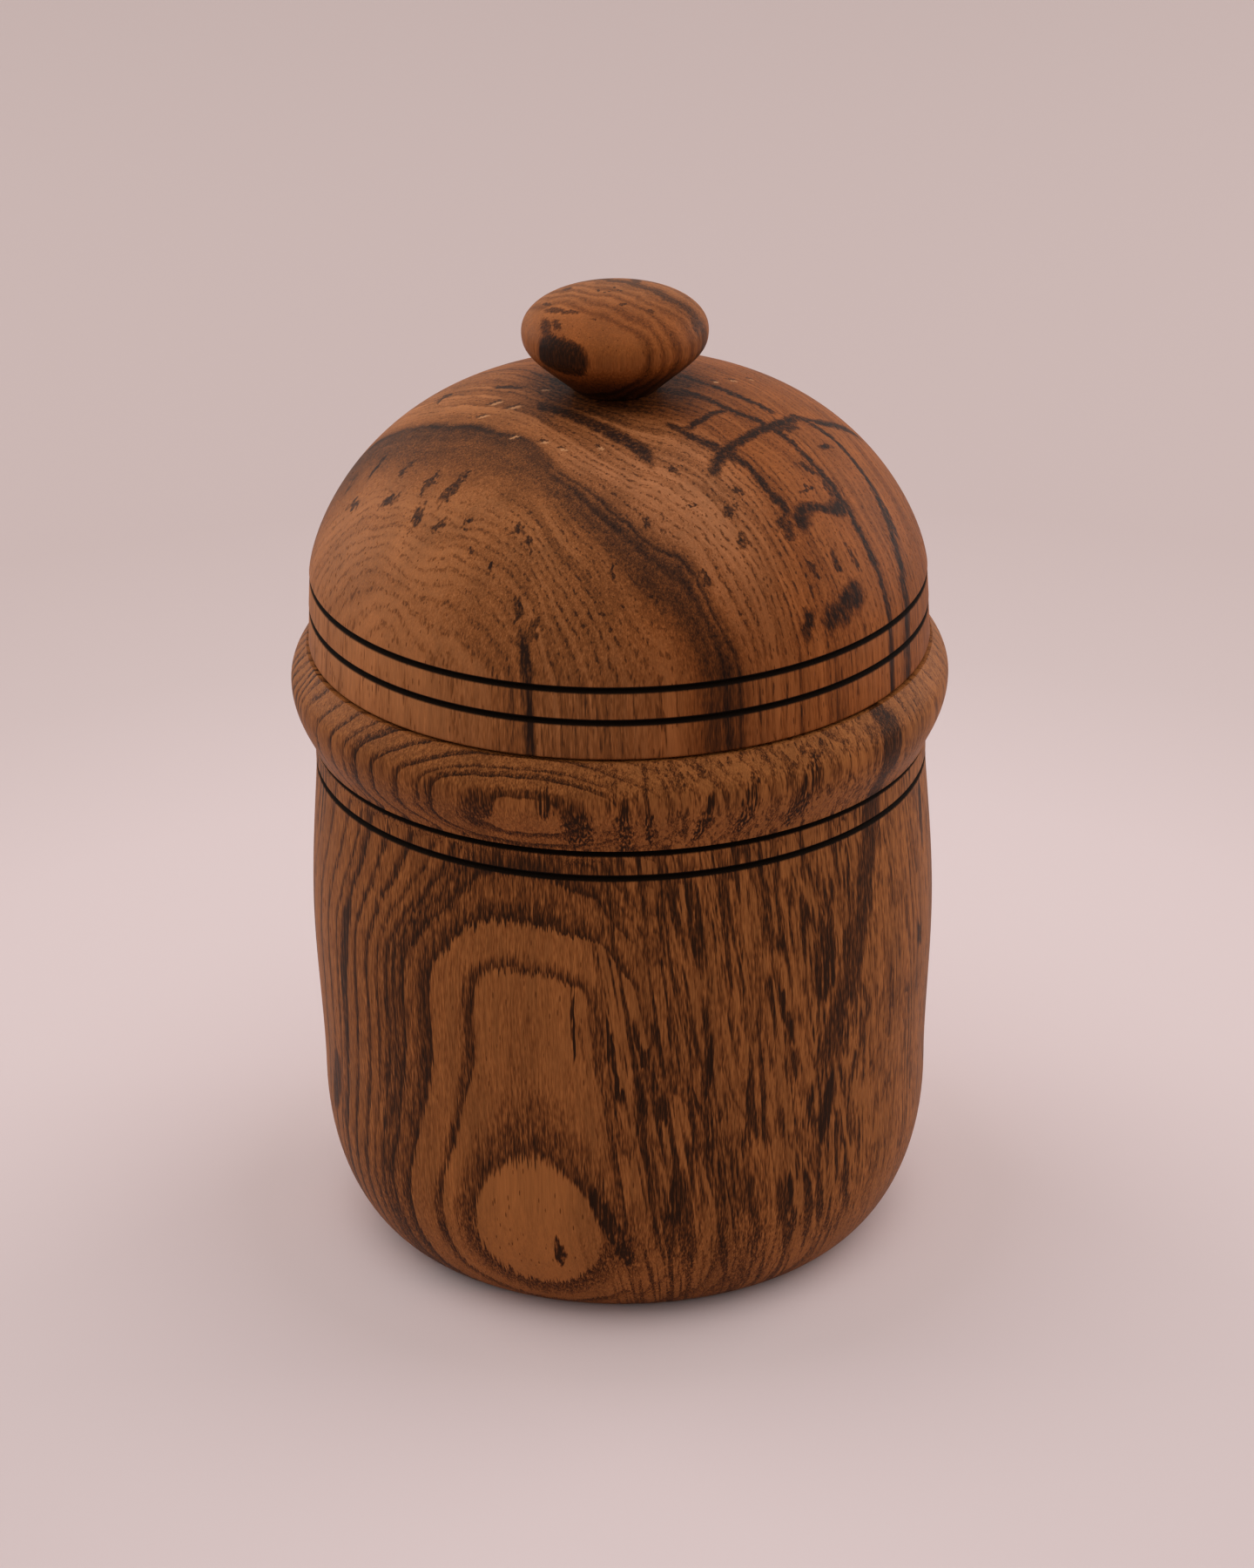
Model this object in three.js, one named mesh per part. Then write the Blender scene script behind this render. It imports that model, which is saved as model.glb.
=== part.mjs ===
// A turned wooden canister: a round-bottomed pot with a beaded collar, a domed lift-off lid that
// plugs into its mouth, and a bun-shaped knob whose tenon is glued into the crown of the lid.
// Millimetres, +Z up, with the origin at the middle of the flat face that it stands on.
// Every outline is a list of [radius, height] points that runs round the section of one piece.
import * as THREE from 'three';

// Pot: radii, worked inwards from the widest part of the collar
const COLLAR_RADIUS = 55;
const COLLAR_STAND_OUT = 3.7; // how far the collar stands out from the neck below it
const BELLY_SWELL = 1.35; // how far the belly is fuller than the neck
const KNEE_DRAW_IN = 1.15; // how far the wall above the rounded bottom is drawn in from the belly
const FOOT_DRAW_IN = 11.2; // how far the flat foot is drawn in from that wall
const RIM_DRAW_IN = 2.7; // how far the top edge of the collar is drawn in from its widest part
const COLLAR_CORNER_STEP = 0.5; // how far the underside of the collar starts outside the neck

// Pot: heights, each measured from the one before it
const KNEE_HEIGHT = 27; // rounded bottom
const BELLY_RISE = 30.5; // from there to the fullest part
const NECK_RISE = 26.9; // from there to the lower burned line
const BODY_LINE_SPACING = 4.4; // between the two burned lines of the pot
const COLLAR_RISE = 10.2; // from the upper line to the widest part of the collar
const RIM_RISE = 6.2; // from there to the rim that the lid stands on

// Pot: hollow
const BODY_WALL = 7.3; // wall at the neck
const FLOOR_THICKNESS = 9;
const CAVITY_CORNER = 16; // radius between the floor and the wall
const MOUTH_BEVEL = 0.8;

// Lid: outside
const LID_MARGIN = 0.45; // how far the lid stands inside the rim's edge
const LID_SIDE_LEAN = 0.5; // how far its side leans in up to the dome
const LID_EDGE_BEVEL = 0.4;
const LID_LINE_RISE = 6.4; // from the lid's edge to its lower burned line
const LID_LINE_SPACING = 5.5;
const DOME_RISE = 31.7; // from the upper burned line to the crown
const CROWN_LAND_RADIUS = 9; // flat land that the knob stands on

// Lid: hollow and the spigot that enters the mouth
const SPIGOT_DEPTH = 8;
const SPIGOT_WALL = 5.6;
const SPIGOT_BEVEL = 0.8;
const HOLLOW_STRAIGHT = 14; // straight wall of the hollow above the bottom of the spigot
const CROWN_THICKNESS = 11.5;

// Knob
const KNOB_RADIUS = 15.35;
const KNOB_FOOT_RADIUS = 6.9;
const KNOB_UNDERSIDE = 9.8; // from its foot to its widest part
const KNOB_CROWN = 6.6; // from there to its top
const TENON_RADIUS = 4.5;
const TENON_LENGTH = 8;
const TENON_BEVEL = 0.6;

// Fits
const SEAT_GAP = 0.3; // between pieces that stand on each other
const MOUTH_CLEARANCE = 0.4; // round the spigot, so that the lid lifts off freely
const TENON_CLEARANCE = 0.3; // glue line round the tenon
const TENON_END_GAP = 0.5; // under the end of the tenon

// Burned lines: a wire held against the turning wood leaves a V-shaped groove
const LINE_WIDTH = 1.3;
const LINE_DEPTH = 0.8;

// How finely the turned surfaces are cut into flats
const SIDES = 60;
const LONG_STEPS = 9;
const SHORT_STEPS = 5;
const SAME_POINT = 1e-6; // points of an outline that are closer than this count as one

// Round stretches: how far the two handles of each curve reach, as [width, height] shares of the stretch
const ROUND_BOTTOM = { leaving: [0.21, 0], arriving: [0, 0.72] };
const LOWER_WALL = { leaving: [0, 0.33], arriving: [0, 0.33] };
const UPPER_WALL = { leaving: [0, 0.35], arriving: [0.35, 0.3] };
const COLLAR_UNDERSIDE = { leaving: [0.13, 0.2], arriving: [0, 0.46] };
const COLLAR_TOP = { leaving: [0, 0.44], arriving: [0.37, 0.26] };
const QUARTER_ROUND = { leaving: [0, 0.55], arriving: [0.55, 0] };
const LID_HOLLOW = { leaving: [0.6, 0], arriving: [0, 0.6] };
const DOME = { leaving: [0.024, 0.25], arriving: [0.72, 0] };
const KNOB_BELOW = { leaving: [0.82, 0.62], arriving: [0, 0.31] };
const KNOB_ABOVE = { leaving: [0, 0.58], arriving: [0.65, 0] };

const OILED_STRIPED_WOOD = { color: 0x8a5530, roughness: 0.55, metalness: 0 };
const OILED_PALE_WOOD = { color: 0x9a6339, roughness: 0.55, metalness: 0 };

// Places that the pieces share
const neckRadius = COLLAR_RADIUS - COLLAR_STAND_OUT;
const bellyRadius = neckRadius + BELLY_SWELL;
const kneeRadius = bellyRadius - KNEE_DRAW_IN;
const footRadius = kneeRadius - FOOT_DRAW_IN;
const rimRadius = COLLAR_RADIUS - RIM_DRAW_IN;
const mouthRadius = neckRadius - BODY_WALL;

const bellyHeight = KNEE_HEIGHT + BELLY_RISE;
const lowerBodyLine = bellyHeight + NECK_RISE;
const upperBodyLine = lowerBodyLine + BODY_LINE_SPACING;
const collarHeight = upperBodyLine + COLLAR_RISE;
const rimHeight = collarHeight + RIM_RISE;

const lidEdge = rimHeight + SEAT_GAP;
const lidRadius = rimRadius - LID_MARGIN;
const lowerLidLine = lidEdge + LID_LINE_RISE;
const upperLidLine = lowerLidLine + LID_LINE_SPACING;
const shoulderRadius = lidRadius - LID_SIDE_LEAN;
const crownHeight = upperLidLine + DOME_RISE;

// Curves of the outlines: cubic curves, each with the handles of its own form
function curve(start, end, { leaving, arriving }, steps) {
  const width = end[0] - start[0];
  const height = end[1] - start[1];
  const bezier = new THREE.CubicBezierCurve(
    new THREE.Vector2(start[0], start[1]),
    new THREE.Vector2(start[0] + leaving[0] * width, start[1] + leaving[1] * height),
    new THREE.Vector2(end[0] - arriving[0] * width, end[1] - arriving[1] * height),
    new THREE.Vector2(end[0], end[1]),
  );
  return bezier.getPoints(steps).map((point) => [point.x, point.y]);
}

function burnedLine(radius, height) {
  return [
    [radius, height - LINE_WIDTH / 2],
    [radius - LINE_DEPTH, height],
    [radius, height + LINE_WIDTH / 2],
  ];
}

// Turning: drops repeated points, spins the outline round the axis and stands it up along Z
function turned(name, finish, outline) {
  const points = [];
  for (const [radius, height] of outline) {
    const last = points[points.length - 1];
    if (!last || Math.hypot(last.x - radius, last.y - height) > SAME_POINT) {
      points.push(new THREE.Vector2(radius, height));
    }
  }
  const geometry = new THREE.LatheGeometry(points, SIDES);
  geometry.rotateX(Math.PI / 2);
  const mesh = new THREE.Mesh(geometry, new THREE.MeshStandardMaterial(finish));
  mesh.name = name;
  return mesh;
}

// The pot, from the middle of its foot up the outside and down its hollow
function makeBody() {
  const cavityCorner = Math.min(CAVITY_CORNER, mouthRadius);
  return turned('body', OILED_STRIPED_WOOD, [
    [0, 0],
    ...curve([footRadius, 0], [kneeRadius, KNEE_HEIGHT], ROUND_BOTTOM, LONG_STEPS),
    ...curve([kneeRadius, KNEE_HEIGHT], [bellyRadius, bellyHeight], LOWER_WALL, SHORT_STEPS),
    ...curve([bellyRadius, bellyHeight], [neckRadius, lowerBodyLine - LINE_WIDTH], UPPER_WALL, SHORT_STEPS),
    ...burnedLine(neckRadius, lowerBodyLine),
    ...burnedLine(neckRadius, upperBodyLine),
    ...curve([neckRadius + COLLAR_CORNER_STEP, upperBodyLine + LINE_WIDTH / 2],
      [COLLAR_RADIUS, collarHeight], COLLAR_UNDERSIDE, LONG_STEPS),
    ...curve([COLLAR_RADIUS, collarHeight], [rimRadius, rimHeight], COLLAR_TOP, SHORT_STEPS),
    [mouthRadius + MOUTH_BEVEL, rimHeight],
    [mouthRadius, rimHeight - MOUTH_BEVEL],
    ...curve([mouthRadius, FLOOR_THICKNESS + cavityCorner],
      [mouthRadius - cavityCorner, FLOOR_THICKNESS], QUARTER_ROUND, LONG_STEPS),
    [0, FLOOR_THICKNESS],
  ]);
}

// The lid, from the top of its hollow down inside the spigot, up the outside and into the tenon's socket
function makeLid() {
  const spigotRadius = mouthRadius - MOUTH_CLEARANCE;
  const hollowRadius = spigotRadius - SPIGOT_WALL;
  const spigotEnd = lidEdge - SPIGOT_DEPTH;
  const hollowTop = crownHeight - CROWN_THICKNESS;
  const socketRadius = TENON_RADIUS + TENON_CLEARANCE;
  const socketEnd = crownHeight + SEAT_GAP - TENON_LENGTH - TENON_END_GAP;
  return turned('lid', OILED_PALE_WOOD, [
    ...curve([0, hollowTop], [hollowRadius, spigotEnd + HOLLOW_STRAIGHT], LID_HOLLOW, LONG_STEPS),
    [hollowRadius, spigotEnd],
    [spigotRadius - SPIGOT_BEVEL, spigotEnd],
    [spigotRadius, spigotEnd + SPIGOT_BEVEL],
    [spigotRadius, lidEdge],
    [lidRadius - LID_EDGE_BEVEL, lidEdge],
    [lidRadius, lidEdge + LID_EDGE_BEVEL],
    ...burnedLine(lidRadius - LID_SIDE_LEAN / 2, lowerLidLine),
    ...burnedLine(shoulderRadius, upperLidLine),
    ...curve([shoulderRadius, upperLidLine + LINE_WIDTH / 2], [CROWN_LAND_RADIUS, crownHeight],
      DOME, 2 * LONG_STEPS),
    [socketRadius, crownHeight],
    [socketRadius, socketEnd],
    [0, socketEnd],
  ]);
}

// The knob, from the end of its tenon up its underside and over its crown
function makeKnob() {
  const foot = crownHeight + SEAT_GAP;
  const widest = foot + KNOB_UNDERSIDE;
  const tenonEnd = foot - TENON_LENGTH;
  return turned('knob', OILED_PALE_WOOD, [
    [0, tenonEnd],
    [TENON_RADIUS - TENON_BEVEL, tenonEnd],
    [TENON_RADIUS, tenonEnd + TENON_BEVEL],
    [TENON_RADIUS, foot],
    ...curve([KNOB_FOOT_RADIUS, foot], [KNOB_RADIUS, widest], KNOB_BELOW, LONG_STEPS),
    ...curve([KNOB_RADIUS, widest], [0, widest + KNOB_CROWN], KNOB_ABOVE, LONG_STEPS),
  ]);
}

const canister = new THREE.Group();
canister.name = 'turned_wooden_canister';
canister.add(makeBody(), makeLid(), makeKnob());

export default canister;
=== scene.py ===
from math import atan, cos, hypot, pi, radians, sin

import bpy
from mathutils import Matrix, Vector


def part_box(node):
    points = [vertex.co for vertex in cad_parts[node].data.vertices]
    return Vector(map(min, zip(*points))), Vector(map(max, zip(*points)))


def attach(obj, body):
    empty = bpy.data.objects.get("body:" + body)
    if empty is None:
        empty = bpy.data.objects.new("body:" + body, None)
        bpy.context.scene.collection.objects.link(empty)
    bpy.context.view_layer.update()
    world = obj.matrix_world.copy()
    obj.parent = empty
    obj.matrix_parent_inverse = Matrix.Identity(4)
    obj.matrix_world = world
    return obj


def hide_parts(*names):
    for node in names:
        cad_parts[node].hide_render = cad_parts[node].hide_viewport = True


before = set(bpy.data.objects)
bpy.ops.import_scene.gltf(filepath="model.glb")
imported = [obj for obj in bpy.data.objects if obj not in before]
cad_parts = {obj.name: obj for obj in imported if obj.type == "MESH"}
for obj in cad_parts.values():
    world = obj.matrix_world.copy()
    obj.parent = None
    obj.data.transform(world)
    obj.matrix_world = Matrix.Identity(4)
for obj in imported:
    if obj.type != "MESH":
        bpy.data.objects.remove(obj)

# %% [markdown]
# # A turned wooden canister
# A pot with a beaded collar, a domed lid and a bun-shaped knob, all turned on a lathe from a coarse,
# dark-striped hardwood and finished with oil. The three CAD solids are already in place. They are good
# enough to test how the lid lifts, but their sides are cut into flats, so each one gets a fine turned
# surface here. The size of the CAD model is kept first, because the fine pieces have to fit in it.

scene = bpy.context.scene
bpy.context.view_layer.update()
MM = 0.001

# %% [markdown]
# ## The camera
# The photograph was taken with a long lens from a little above, so the mouth line is a shallow ellipse
# and the sides hardly converge. A camera is placed by what it looks at: the point it aims at, how far
# away it stands, how high above the horizon it looks from, and how much it leans to one side.

# %% Camera
CAMERA_AIM = Vector((0.96, 0, 77.5)) * MM
CAMERA_DISTANCE = 986.75 * MM
CAMERA_ELEVATION = radians(24.75)
CAMERA_LEAN = radians(-0.78)
LENS = 133.98


def make_camera():
    data = bpy.data.cameras.new("camera")
    data.lens = LENS
    data.sensor_width = 36
    data.clip_start = 0.05
    data.clip_end = 30
    camera = bpy.data.objects.new("camera", data)
    scene.collection.objects.link(camera)
    backwards = Vector((0, -cos(CAMERA_ELEVATION), sin(CAMERA_ELEVATION)))
    camera.location = CAMERA_AIM + backwards * CAMERA_DISTANCE
    tilt = Matrix.Rotation(pi / 2 - CAMERA_ELEVATION, 4, "X")
    camera.rotation_euler = (tilt @ Matrix.Rotation(CAMERA_LEAN, 4, "Z")).to_euler()
    scene.camera = camera
    return camera


print("camera at", make_camera().location)

# %% [markdown]
# ## Shaping a piece on the lathe
# A turned piece is one outline spun round the axis of the lathe. By hand, that is a single point that is
# extruded step by step along the outline and then spun through a full turn. Round stretches are cubic
# curves, described by how far their handles reach as a share of the stretch's own width and height. The
# same shares are used for the CAD solids, so the fine surface follows them.

# %% Outline curves
FINE_STEPS = 28
CORNER_STEPS = 5
QUARTER_ROUND = ((0, 0.55), (0.55, 0))


def curve(start, end, handles, steps=FINE_STEPS):
    """A cubic curve; the first handle leaves its start and the second arrives at its end."""
    leaving, arriving = handles
    width = end[0] - start[0]
    height = end[1] - start[1]
    near_start = (start[0] + leaving[0] * width, start[1] + leaving[1] * height)
    near_end = (end[0] - arriving[0] * width, end[1] - arriving[1] * height)
    points = []
    for step in range(steps + 1):
        t = step / steps
        weights = ((1 - t) ** 3, 3 * (1 - t) ** 2 * t, 3 * (1 - t) * t ** 2, t ** 3)
        corners = (start, near_start, near_end, end)
        points.append(tuple(sum(w * c[i] for w, c in zip(weights, corners)) for i in (0, 1)))
    return points


def rounded(corner, before, after, size, steps=CORNER_STEPS):
    """Rounds off a corner of the outline between the points before and after it."""
    corner = Vector(corner)
    start = corner + (Vector(before) - corner).normalized() * size
    end = corner + (Vector(after) - corner).normalized() * size
    points = []
    for step in range(steps + 1):
        t = step / steps
        points.append(tuple((1 - t) ** 2 * start + 2 * t * (1 - t) * corner + t ** 2 * end))
    return points


print("a quarter round has", len(curve((1, 0), (0, 1), QUARTER_ROUND)), "points")

# %% [markdown]
# A wire held against the spinning wood burns a narrow line. Its groove is sharp at the bottom, where the
# wire cut in, and its two edges are rounded off by the heat.

# %% Burned lines
LINE_WIDTH = 1.3
LINE_DEPTH = 0.8
GROOVE_CURVE = 1.3
GROOVE_STEPS = 12


def burned_line(radius, height, steps=GROOVE_STEPS):
    points = []
    for step in range(steps + 1):
        across = 2 * step / steps - 1
        cut = LINE_DEPTH * (1 - abs(across)) ** GROOVE_CURVE
        points.append((radius - cut, height + across * LINE_WIDTH / 2))
    return points


print("burned lines are", LINE_WIDTH, "mm wide and", LINE_DEPTH, "mm deep")

# %% [markdown]
# The outline could also be a curve with a Screw modifier. Spinning it in Edit Mode gives the same surface
# as plain faces at once, and every step of it can be looked at.

# %% The lathe
SPIN_STEPS = 240
SAME_POINT = 0.002
SHARP_ANGLE = radians(35)


def deselect_all():
    if bpy.context.object and bpy.context.object.mode != "OBJECT":
        bpy.ops.object.mode_set(mode="OBJECT")
    bpy.ops.object.select_all(action="DESELECT")


def turn(name, outline):
    """Extrudes a point along the outline, given in millimetres, and spins it into a closed piece."""
    deselect_all()
    start = (outline[0][0] * MM, 0, outline[0][1] * MM)
    bpy.ops.mesh.primitive_plane_add(size=MM, location=start)
    piece = bpy.context.object
    piece.name = name
    bpy.ops.object.transform_apply(location=True, rotation=True, scale=True)
    bpy.ops.object.mode_set(mode="EDIT")
    bpy.ops.mesh.select_all(action="SELECT")
    bpy.ops.mesh.merge(type="CENTER")
    for here, there in zip(outline, outline[1:]):
        step = ((there[0] - here[0]) * MM, 0, (there[1] - here[1]) * MM)
        if hypot(step[0], step[2]) > SAME_POINT * MM:
            bpy.ops.mesh.extrude_region_move(TRANSFORM_OT_translate={"value": step})
    bpy.ops.mesh.select_all(action="SELECT")
    bpy.ops.mesh.spin(steps=SPIN_STEPS, angle=2 * pi, center=(0, 0, 0), axis=(0, 0, 1))
    bpy.ops.mesh.select_all(action="SELECT")
    bpy.ops.mesh.remove_doubles(threshold=SAME_POINT * MM)
    bpy.ops.mesh.normals_make_consistent(inside=False)
    bpy.ops.object.mode_set(mode="OBJECT")
    bpy.ops.object.shade_smooth_by_angle(angle=SHARP_ANGLE)
    print(name, len(piece.data.vertices), "points", len(piece.data.polygons), "faces")
    return piece


# %% [markdown]
# Sizes that the CAD model can tell are measured on it, so that the fine pieces can't drift away from it.
# The others are written down, as they were for the CAD solids.


# %% Sizes from the frame
def extents(node):
    low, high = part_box(node)
    return low.z / MM, high.z / MM, high.x / MM


foot_height, rim_height, collar_radius = extents("body")
spigot_end, crown_height, lid_radius = extents("lid")
tenon_end, knob_top, knob_radius = extents("knob")
print("rim", rim_height, "collar", collar_radius, "crown", crown_height, "lid", lid_radius, "knob", knob_top)

# %% [markdown]
# ## The pot
# The pot stands on a small flat foot, rounds up into a nearly straight wall that swells a little at the
# belly, and ends in a beaded collar. Its hollow has a straight wall and a rounded floor. Every radius is
# worked inwards from the collar, as on the CAD solid.

# %% Sizes of the pot
COLLAR_STAND_OUT = 3.7
BELLY_SWELL = 1.35
KNEE_DRAW_IN = 1.15
FOOT_DRAW_IN = 11.2
RIM_DRAW_IN = 2.7
COLLAR_CORNER_STEP = 0.5
BODY_WALL = 7.3
KNEE_HEIGHT = 27
BELLY_HEIGHT = 57.5
LOWER_BODY_LINE = 84.4
UPPER_BODY_LINE = 88.8
COLLAR_HEIGHT = 99
FLOOR_HEIGHT = 9
CAVITY_CORNER = 16
MOUTH_BEVEL = 0.8
ROUND_BOTTOM = ((0.21, 0), (0, 0.72))
LOWER_WALL = ((0, 0.33), (0, 0.33))
UPPER_WALL = ((0, 0.35), (0.35, 0.3))
COLLAR_UNDERSIDE = ((0.13, 0.2), (0, 0.46))
COLLAR_TOP = ((0, 0.44), (0.37, 0.26))
COLLAR_TOP_STEPS = 16

neck_radius = collar_radius - COLLAR_STAND_OUT
belly_radius = neck_radius + BELLY_SWELL
knee_radius = belly_radius - KNEE_DRAW_IN
foot_radius = knee_radius - FOOT_DRAW_IN
rim_radius = collar_radius - RIM_DRAW_IN
mouth_radius = neck_radius - BODY_WALL
print("neck_grain_and_shade", neck_radius, "belly", belly_radius, "foot", foot_radius, "mouth", mouth_radius)


# %% Pot
def make_pot():
    rim = (rim_radius, rim_height)
    mouth = (mouth_radius, rim_height)
    cavity_wall = (mouth_radius, FLOOR_HEIGHT + CAVITY_CORNER)
    cavity_floor = (mouth_radius - CAVITY_CORNER, FLOOR_HEIGHT)
    collar_start = (neck_radius + COLLAR_CORNER_STEP, UPPER_BODY_LINE + LINE_WIDTH / 2)
    neck_end = (neck_radius, LOWER_BODY_LINE - LINE_WIDTH)
    outline = [(0, foot_height)]
    outline += curve((foot_radius, foot_height), (knee_radius, KNEE_HEIGHT), ROUND_BOTTOM)
    outline += curve((knee_radius, KNEE_HEIGHT), (belly_radius, BELLY_HEIGHT), LOWER_WALL)
    outline += curve((belly_radius, BELLY_HEIGHT), neck_end, UPPER_WALL)
    outline += burned_line(neck_radius, LOWER_BODY_LINE)
    outline += burned_line(neck_radius, UPPER_BODY_LINE)
    outline += curve(collar_start, (collar_radius, COLLAR_HEIGHT), COLLAR_UNDERSIDE)
    outline += curve((collar_radius, COLLAR_HEIGHT), rim, COLLAR_TOP, COLLAR_TOP_STEPS)
    outline += rounded(mouth, rim, cavity_wall, MOUTH_BEVEL)
    outline += curve(cavity_wall, cavity_floor, QUARTER_ROUND)
    outline += [(0, FLOOR_HEIGHT)]
    return turn("pot", outline)


pot = make_pot()

# %% [markdown]
# ## The lid
# The lid is a dome over a short upright side with two burned lines. Below, a ring of wood called the
# spigot enters the mouth and keeps the lid centred. The lid is hollow, so that it is light and doesn't
# warp, and its crown has a flat land with a blind hole for the knob's tenon.

# %% Sizes of the lid
SEAT_GAP = 0.3
MOUTH_CLEARANCE = 0.4
SPIGOT_WALL = 5.6
SPIGOT_BEVEL = 0.8
HOLLOW_BEVEL = 0.6
LID_SIDE_LEAN = 0.5
LID_EDGE_BEVEL = 0.6
LOWER_LID_LINE = 111.9
UPPER_LID_LINE = 117.4
HOLLOW_STRAIGHT = 14
CROWN_THICKNESS = 11.5
CROWN_LAND_RADIUS = 9
SOCKET_RADIUS = 4.8
SOCKET_END_GAP = 0.5
LID_HOLLOW = ((0.6, 0), (0, 0.6))
DOME = ((0.024, 0.25), (0.72, 0))
DOME_STEPS = 64

lid_edge = rim_height + SEAT_GAP
spigot_radius = mouth_radius - MOUTH_CLEARANCE
hollow_radius = spigot_radius - SPIGOT_WALL
shoulder_radius = lid_radius - LID_SIDE_LEAN
socket_end = tenon_end - SOCKET_END_GAP
print("lid edge", lid_edge, "spigot", spigot_radius, "hollow", hollow_radius)


# %% Lid
def make_lid():
    hollow_top = (0, crown_height - CROWN_THICKNESS)
    hollow_side = (hollow_radius, spigot_end + HOLLOW_STRAIGHT)
    hollow_mouth = (hollow_radius, spigot_end)
    spigot_corner = (spigot_radius, spigot_end)
    spigot_root = (spigot_radius, lid_edge)
    edge = (lid_radius, lid_edge)
    shoulder = (shoulder_radius, UPPER_LID_LINE + LINE_WIDTH / 2)
    crown = (CROWN_LAND_RADIUS, crown_height)
    outline = curve(hollow_top, hollow_side, LID_HOLLOW)
    outline += rounded(hollow_mouth, hollow_side, spigot_corner, HOLLOW_BEVEL)
    outline += rounded(spigot_corner, hollow_mouth, spigot_root, SPIGOT_BEVEL)
    outline += [spigot_root]
    outline += rounded(edge, spigot_root, (lid_radius, UPPER_LID_LINE), LID_EDGE_BEVEL)
    outline += burned_line(lid_radius - LID_SIDE_LEAN / 2, LOWER_LID_LINE)
    outline += burned_line(shoulder_radius, UPPER_LID_LINE)
    outline += curve(shoulder, crown, DOME, DOME_STEPS)
    outline += [(SOCKET_RADIUS, crown_height), (SOCKET_RADIUS, socket_end), (0, socket_end)]
    return turn("domed_lid", outline)


domed_lid = make_lid()

# %% [markdown]
# ## The knob
# The knob is a flattened bun: its underside sweeps out from a narrow foot, so that fingertips get under
# it, and its top is a low dome. A tenon below its foot is glued into the lid.

# %% Knob
KNOB_UNDERSIDE = 9.8
KNOB_FOOT_RADIUS = 6.9
TENON_RADIUS = 4.5
TENON_BEVEL = 0.6
KNOB_BELOW = ((0.82, 0.62), (0, 0.31))
KNOB_BELOW_STEPS = 32
KNOB_ABOVE = ((0, 0.58), (0.65, 0))
KNOB_ABOVE_STEPS = 40
knob_foot = crown_height + SEAT_GAP
knob_widest = knob_foot + KNOB_UNDERSIDE


def make_knob():
    tenon_corner = (TENON_RADIUS, tenon_end)
    tenon_root = (TENON_RADIUS, knob_foot)
    widest = (knob_radius, knob_widest)
    outline = [(0, tenon_end)]
    outline += rounded(tenon_corner, (0, tenon_end), tenon_root, TENON_BEVEL)
    outline += [tenon_root]
    outline += curve((KNOB_FOOT_RADIUS, knob_foot), widest, KNOB_BELOW, KNOB_BELOW_STEPS)
    outline += curve(widest, (0, knob_top), KNOB_ABOVE, KNOB_ABOVE_STEPS)
    return turn("bun_knob", outline)


bun_knob = make_knob()

# %% [markdown]
# ## Writing a finish as a sum
# A wood finish is a long sum worked out for every point of the surface, from the point's own place in the
# block. Nodes do that sum. To keep it readable, a small class stands for one result: adding or multiplying
# two results adds a Math node and links it.


# %% Numbers made by nodes
def plug(tree, socket, value):
    if isinstance(value, Number):
        tree.links.new(value.socket, socket)
    elif value is not None:
        socket.default_value = value


class Number:
    """A number, place or colour that nodes work out for each point of a surface."""

    def __init__(self, tree, socket):
        self.tree = tree
        self.socket = socket

    def math(self, operation, other=None, third=None):
        node = self.tree.nodes.new("ShaderNodeMath")
        node.operation = operation
        for socket, value in zip(node.inputs, (self, other, third)):
            plug(self.tree, socket, value)
        return Number(self.tree, node.outputs[0])

    def vector(self, operation, other=None, third=None):
        node = self.tree.nodes.new("ShaderNodeVectorMath")
        node.operation = operation
        for socket, value in zip(node.inputs, (self, other, third)):
            plug(self.tree, socket, value)
        scalar = operation in ("LENGTH", "DOT_PRODUCT")
        return Number(self.tree, node.outputs[1 if scalar else 0])

    def scaled(self, number):
        """This place or colour, multiplied all through by one number."""
        node = self.tree.nodes.new("ShaderNodeVectorMath")
        node.operation = "SCALE"
        plug(self.tree, node.inputs[0], self)
        plug(self.tree, node.inputs["Scale"], number)
        return Number(self.tree, node.outputs[0])

    def __add__(self, other):
        return self.math("ADD", other)

    def __sub__(self, other):
        return self.math("SUBTRACT", other)

    def __mul__(self, other):
        return self.math("MULTIPLY", other)

    def __truediv__(self, other):
        return self.math("DIVIDE", other)

    def __rsub__(self, other):
        return self.math("MULTIPLY_ADD", -1.0, other)

    def __abs__(self):
        return self.math("ABSOLUTE")

    __radd__ = __add__
    __rmul__ = __mul__


def smooth(low, high, number):
    """0 below low and 1 above high, with a soft step between; low may be the larger one."""
    node = number.tree.nodes.new("ShaderNodeMapRange")
    node.interpolation_type = "SMOOTHSTEP"
    for socket, value in zip(node.inputs, (number, low, high)):
        plug(number.tree, socket, value)
    return Number(number.tree, node.outputs[0])


def blend(share, first, second):
    """The first number where share is 0 and the second where it is 1."""
    return first + share * (second - first)


def mixed(share, first, second):
    """The first colour where share is 0 and the second where it is 1."""
    tree = share.tree
    node = tree.nodes.new("ShaderNodeMix")
    node.data_type = "RGBA"
    plug(tree, node.inputs[0], share)
    for socket, colour in ((node.inputs[6], first), (node.inputs[7], second)):
        plug(tree, socket, (*colour, 1) if isinstance(colour, tuple) else colour)
    return Number(tree, node.outputs[2])


def larger(first, second):
    return first.math("MAXIMUM", second)
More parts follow.
